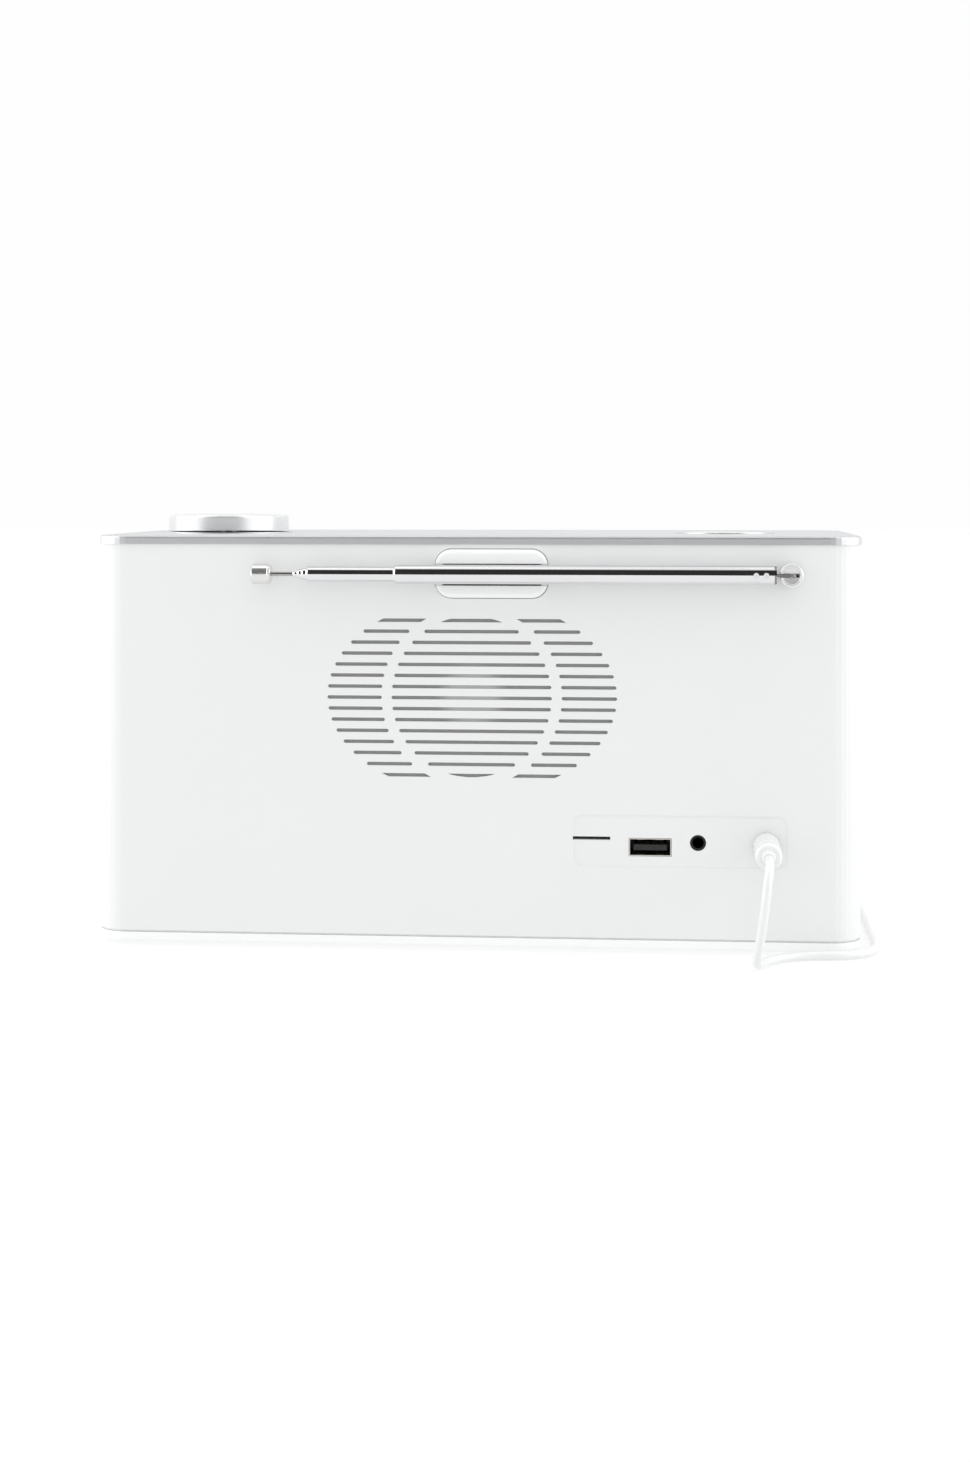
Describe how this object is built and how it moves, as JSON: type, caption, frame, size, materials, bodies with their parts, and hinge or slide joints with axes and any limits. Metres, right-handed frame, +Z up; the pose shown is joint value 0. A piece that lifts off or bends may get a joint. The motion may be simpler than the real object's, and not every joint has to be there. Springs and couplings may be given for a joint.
{
  "type": "tabletop radio",
  "caption": "White tabletop radio with a silver top, push-turn knob, button dial, slotted speaker grilles, sockets and a folding telescopic antenna on the back.",
  "frame": {"origin": "on the table under the middle of the radio's bounding box, antenna folded, lead left out", "axes": "+X along the width, to the right of someone facing the front; +Y out of the back, where the sockets and antenna are; +Z up"},
  "size_m": [0.248, 0.2154, 0.1359],
  "materials": {
    "cabinet_white": "fine satin moulding",
    "base_white": "fine satin moulding",
    "panel_silver": "satin brushed",
    "knob_silver": "spun satin",
    "front_grey": "fine satin moulding",
    "trim_silver": "satin",
    "key_white": "semi-gloss",
    "clip_white": "satin",
    "foot_rubber": "matt",
    "screw_steel": "zinc plated",
    "black_plastic": "satin black",
    "window_dark": "polished smoked",
    "lcd_module": "frame and printed board",
    "board_green": "solder mask",
    "tin_can": "tinned",
    "heatsink": "extruded",
    "chrome_tube": "polished plating",
    "brass_bush": "turned",
    "basket_steel": "black pressed steel",
    "surround_rubber": "matt",
    "cone_paper": "pressed paper pulp",
    "woofer_paper": "pale coated cone and bright cap",
    "magnet_grey": "zinc plated plates on ferrite",
    "usb_metal": "nickel plated",
    "usb_black": "satin black",
    "felt_white": "white acoustic felt",
    "wire_red": "insulation",
    "lead_white": "glossy white sheath",
    "adapter_white": "satin white",
    "pin_nickel": "nickel plated",
    "tie_black": "wrapped wire tie"
  },
  "bodies": {
    "radio": {"cabinet_shell": "cabinet_white", "base_plate": "base_white", "rubber_feet": "foot_rubber", "base_screws": "screw_steel", "top_panel": "panel_silver", "top_tray": "black_plastic", "front_panel": "front_grey", "front_trim": "trim_silver", "display_window": "window_dark", "display_module": "lcd_module", "encoder_body": "tin_can", "button_bezel": "trim_silver", "button_board": "board_green", "button_switches": "black_plastic", "woofer_basket": "basket_steel", "grille_felt": "felt_white", "woofer_magnet": "magnet_grey", "front_baskets": "basket_steel", "speaker_surrounds": "surround_rubber", "front_magnets": "magnet_grey", "main_board": "board_green", "tuner_can": "tin_can", "amp_heatsink": "heatsink", "port_board": "board_green", "wiring": "wire_red", "usb_shell": "usb_metal", "usb_tongue": "usb_black", "card_reader": "tin_can", "aux_jack": "black_plastic", "dc_jack": "black_plastic", "antenna_clip": "clip_white", "antenna_bush": "brass_bush", "dc_plug": "lead_white", "power_cord": "lead_white", "cord_coil": "lead_white", "cord_tie": "tie_black", "power_adapter": "adapter_white", "adapter_pins": "pin_nickel"},
    "swivel": {"antenna_swivel": "chrome_tube", "antenna_circlip": "screw_steel", "antenna_hinge_pin": "chrome_tube"},
    "antenna": {"antenna_tongue": "chrome_tube", "antenna_tube_1": "chrome_tube"},
    "tube_2": {"antenna_tube_2": "chrome_tube"},
    "tube_3": {"antenna_tube_3": "chrome_tube"},
    "tube_4": {"antenna_tube_4": "chrome_tube"},
    "tube_5": {"antenna_tube_5": "chrome_tube"},
    "rod": {"antenna_rod": "chrome_tube", "antenna_tip": "knob_silver"},
    "plunger": {"encoder_plunger": "usb_black"},
    "knob": {"tuning_knob": "knob_silver", "encoder_shaft": "knob_silver"},
    "key_middle": {"button_middle": "knob_silver"},
    "key_front": {"button_front": "key_white"},
    "key_rear": {"button_rear": "key_white"},
    "key_left": {"button_left": "key_white"},
    "key_right": {"button_right": "key_white"},
    "cone_rear": {"woofer_cone": "woofer_paper"},
    "cone_left": {"left_cone": "cone_paper"},
    "cone_right": {"right_cone": "cone_paper"}
  },
  "joints": [
    {"name": "antenna_swivel", "type": "hinge", "parent": "radio", "child": "swivel", "pos_m": [-0.0985, 0.05875, 0.1178], "axis": [0, -1, 0], "range_deg": [0, 180]},
    {"name": "antenna_tilt", "type": "hinge", "parent": "swivel", "child": "antenna", "pos_m": [-0.0985, 0.05875, 0.1178], "axis": [0, 0, 1], "range_deg": [0, 90]},
    {"name": "slide_tube_2", "type": "slide", "parent": "antenna", "child": "tube_2", "axis": [1, 0, 0], "range_m": [0, 0.1]},
    {"name": "slide_tube_3", "type": "slide", "parent": "tube_2", "child": "tube_3", "axis": [1, 0, 0], "range_m": [0, 0.115]},
    {"name": "slide_tube_4", "type": "slide", "parent": "tube_3", "child": "tube_4", "axis": [1, 0, 0], "range_m": [0, 0.115]},
    {"name": "slide_tube_5", "type": "slide", "parent": "tube_4", "child": "tube_5", "axis": [1, 0, 0], "range_m": [0, 0.115]},
    {"name": "slide_rod", "type": "slide", "parent": "tube_5", "child": "rod", "axis": [1, 0, 0], "range_m": [0, 0.115]},
    {"name": "knob_press", "type": "slide", "parent": "radio", "child": "plunger", "axis": [0, 0, -1], "range_m": [0, 0.0005], "stiffness_N_per_m": 4000, "springref_m": -0.0004},
    {"name": "knob_turn", "type": "hinge", "parent": "plunger", "child": "knob", "pos_m": [0.088, -0.00045, 0.13], "axis": [0, 0, 1], "continuous": true},
    {"name": "press_middle", "type": "slide", "parent": "radio", "child": "key_middle", "axis": [0, 0, -1], "range_m": [0, 0.0005], "stiffness_N_per_m": 1500, "springref_m": -0.0003},
    {"name": "press_front", "type": "slide", "parent": "radio", "child": "key_front", "axis": [0, 0, -1], "range_m": [0, 0.0005], "stiffness_N_per_m": 1500, "springref_m": -0.0003},
    {"name": "press_rear", "type": "slide", "parent": "radio", "child": "key_rear", "axis": [0, 0, -1], "range_m": [0, 0.0005], "stiffness_N_per_m": 1500, "springref_m": -0.0003},
    {"name": "press_left", "type": "slide", "parent": "radio", "child": "key_left", "axis": [0, 0, -1], "range_m": [0, 0.0005], "stiffness_N_per_m": 1500, "springref_m": -0.0003},
    {"name": "press_right", "type": "slide", "parent": "radio", "child": "key_right", "axis": [0, 0, -1], "range_m": [0, 0.0005], "stiffness_N_per_m": 1500, "springref_m": -0.0003},
    {"name": "cone_move_rear", "type": "slide", "parent": "radio", "child": "cone_rear", "axis": [0, 1, 0], "range_m": [-0.0015, 0.0015], "stiffness_N_per_m": 1500},
    {"name": "cone_move_left", "type": "slide", "parent": "radio", "child": "cone_left", "axis": [0, -1, 0], "range_m": [-0.0015, 0.0015], "stiffness_N_per_m": 1500},
    {"name": "cone_move_right", "type": "slide", "parent": "radio", "child": "cone_right", "axis": [0, -1, 0], "range_m": [-0.0015, 0.0015], "stiffness_N_per_m": 1500}
  ]
}
